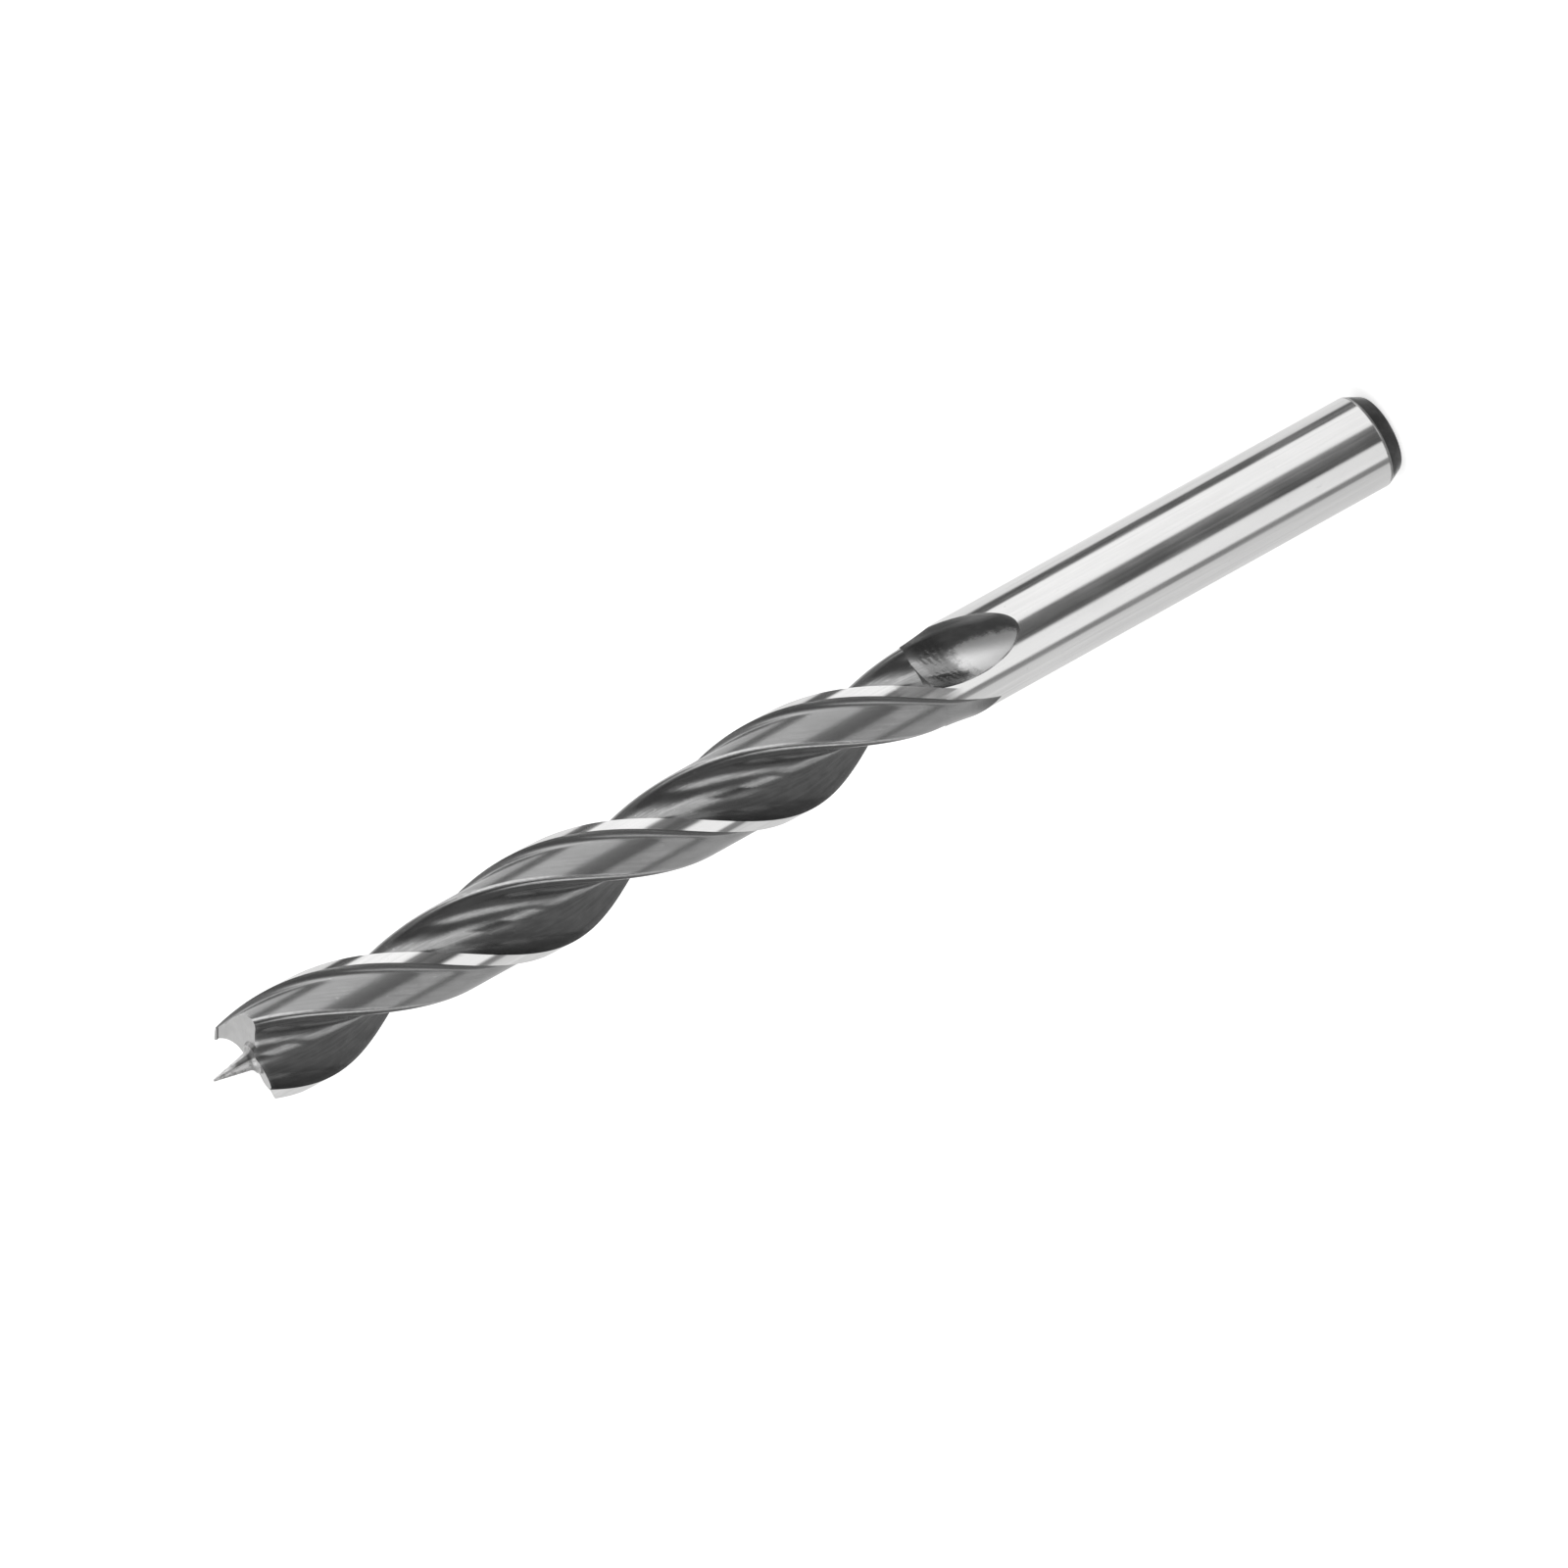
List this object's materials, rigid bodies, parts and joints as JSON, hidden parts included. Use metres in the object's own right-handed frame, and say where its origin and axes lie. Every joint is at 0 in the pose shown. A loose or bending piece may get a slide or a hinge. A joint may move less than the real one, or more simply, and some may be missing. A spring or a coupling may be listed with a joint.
{
  "type": "wood drill bit",
  "caption": "Brad-point twist drill bit for wood with helical flutes, a centre point, cutting spurs and a plain round shank.",
  "frame": {"origin": "centre of the flat end of the shank, which the bit stands on", "axes": "+Z along the bit's axis from the shank end to the brad point; +X and -X towards the two spurs"},
  "size_m": [0.01, 0.01, 0.133],
  "materials": {
    "bright_ground_steel": "ground and polished"
  },
  "bodies": {
    "root": {"drill_bit": "bright_ground_steel"}
  },
  "joints": []
}
